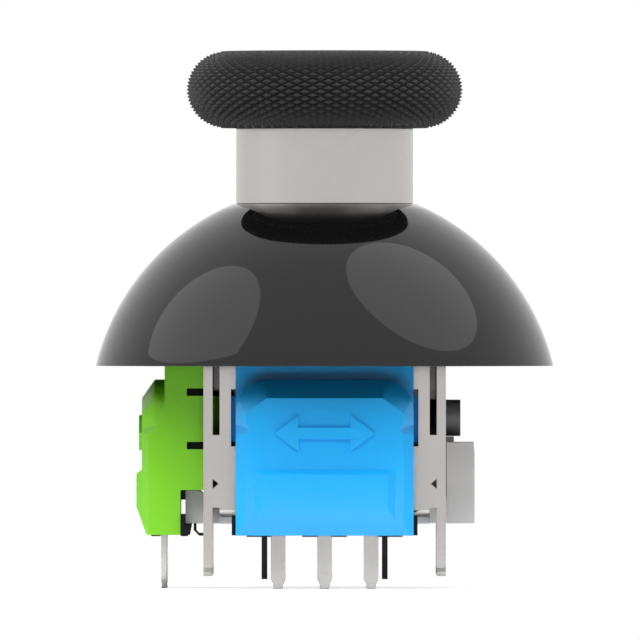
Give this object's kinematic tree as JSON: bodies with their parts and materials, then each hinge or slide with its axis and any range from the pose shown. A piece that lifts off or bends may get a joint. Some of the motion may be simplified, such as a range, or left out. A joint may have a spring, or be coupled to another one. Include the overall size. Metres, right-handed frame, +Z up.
{
  "type": "analog stick module",
  "caption": "Two-axis analog stick module with thumb cap: knurled grip, steel collar and glossy dome over a framed gimbal with two sensors, a push switch and solder pins.",
  "frame": {"origin": "under the stick's axis, level with the tips of the sensor pins", "axes": "+Z up the stick at rest, +Y away from the front sensor, +X away from the side sensor"},
  "size_m": [0.0248, 0.0248, 0.029],
  "materials": {
    "grip_rubber": "matt black, moulded diamond knurl",
    "collar_steel": "polished",
    "cap_plastic": "smooth, glossy",
    "frame_steel": "plated sheet, satin",
    "base_plastic": "moulded, matt",
    "front_cover_plastic": "moulded, satin",
    "side_cover_plastic": "moulded, satin",
    "black_plastic": "moulded, matt",
    "arm_plastic": "moulded, smooth",
    "rotor_plastic": "moulded, smooth",
    "pin_metal": "tinned",
    "lever_steel": "turned",
    "spring_steel": "drawn wire",
    "magnet_metal": "plated, dull",
    "board_laminate": "lacquered",
    "switch_plastic": "moulded, matt",
    "plunger_plastic": "moulded, smooth"
  },
  "bodies": {
    "root": {"frame": "frame_steel", "base": "base_plastic", "front_cover": "front_cover_plastic", "side_cover": "side_cover_plastic", "switch_body": "switch_plastic", "switch_cover": "frame_steel", "front_back": "black_plastic", "front_board": "board_laminate", "front_chip": "black_plastic", "front_pin_1": "pin_metal", "front_pin_2": "pin_metal", "front_pin_3": "pin_metal", "side_back": "black_plastic", "side_board": "board_laminate", "side_chip": "black_plastic", "side_pin_1": "pin_metal", "side_pin_2": "pin_metal", "side_pin_3": "pin_metal", "switch_pin_1": "pin_metal", "switch_pin_2": "pin_metal", "switch_pin_3": "pin_metal", "switch_pin_4": "pin_metal"},
    "press": {"spring_seat": "arm_plastic", "return_spring": "spring_steel"},
    "lower_arm": {"lower_arm": "arm_plastic", "front_rotor": "rotor_plastic", "front_magnet": "magnet_metal"},
    "stick": {"lever": "lever_steel", "lever_pin": "lever_steel", "cap_body": "cap_plastic", "wear_collar": "collar_steel", "thumb_grip": "grip_rubber"},
    "upper_arm": {"upper_arm": "arm_plastic", "side_rotor": "rotor_plastic", "side_magnet": "magnet_metal"},
    "plunger": {"switch_plunger": "plunger_plastic", "switch_dome": "spring_steel"}
  },
  "joints": [
    {"name": "press", "type": "hinge", "parent": "root", "child": "press", "pos_m": [0, -0.00628, 0.0092], "axis": [-1, 0, 0], "range_deg": [0, 2], "stiffness_Nm_per_rad": 0.2, "springref_deg": -2.86, "deforming": ["return_spring"]},
    {"name": "tilt_left_right", "type": "hinge", "parent": "press", "child": "lower_arm", "pos_m": [0, 0, 0.0092], "axis": [0, 1, 0], "range_deg": [-18, 18], "stiffness_Nm_per_rad": 0.03},
    {"name": "tilt_front_back", "type": "hinge", "parent": "lower_arm", "child": "stick", "pos_m": [0, 0, 0.0092], "axis": [1, 0, 0], "range_deg": [-18, 18], "stiffness_Nm_per_rad": 0.03},
    {"name": "upper_arm_turn", "type": "hinge", "parent": "root", "child": "upper_arm", "pos_m": [0, 0, 0.0092], "axis": [1, 0, 0], "range_deg": [-18, 18]},
    {"name": "switch_press", "type": "slide", "parent": "root", "child": "plunger", "axis": [0, 0, -1], "range_m": [0, 0.00051], "deforming": ["switch_dome"]}
  ],
  "couplings": [
    {"joint": "upper_arm_turn", "follows": "tilt_front_back", "ratio": 1},
    {"joint": "switch_press", "follows": "press", "m_per_rad": 0.01453}
  ]
}
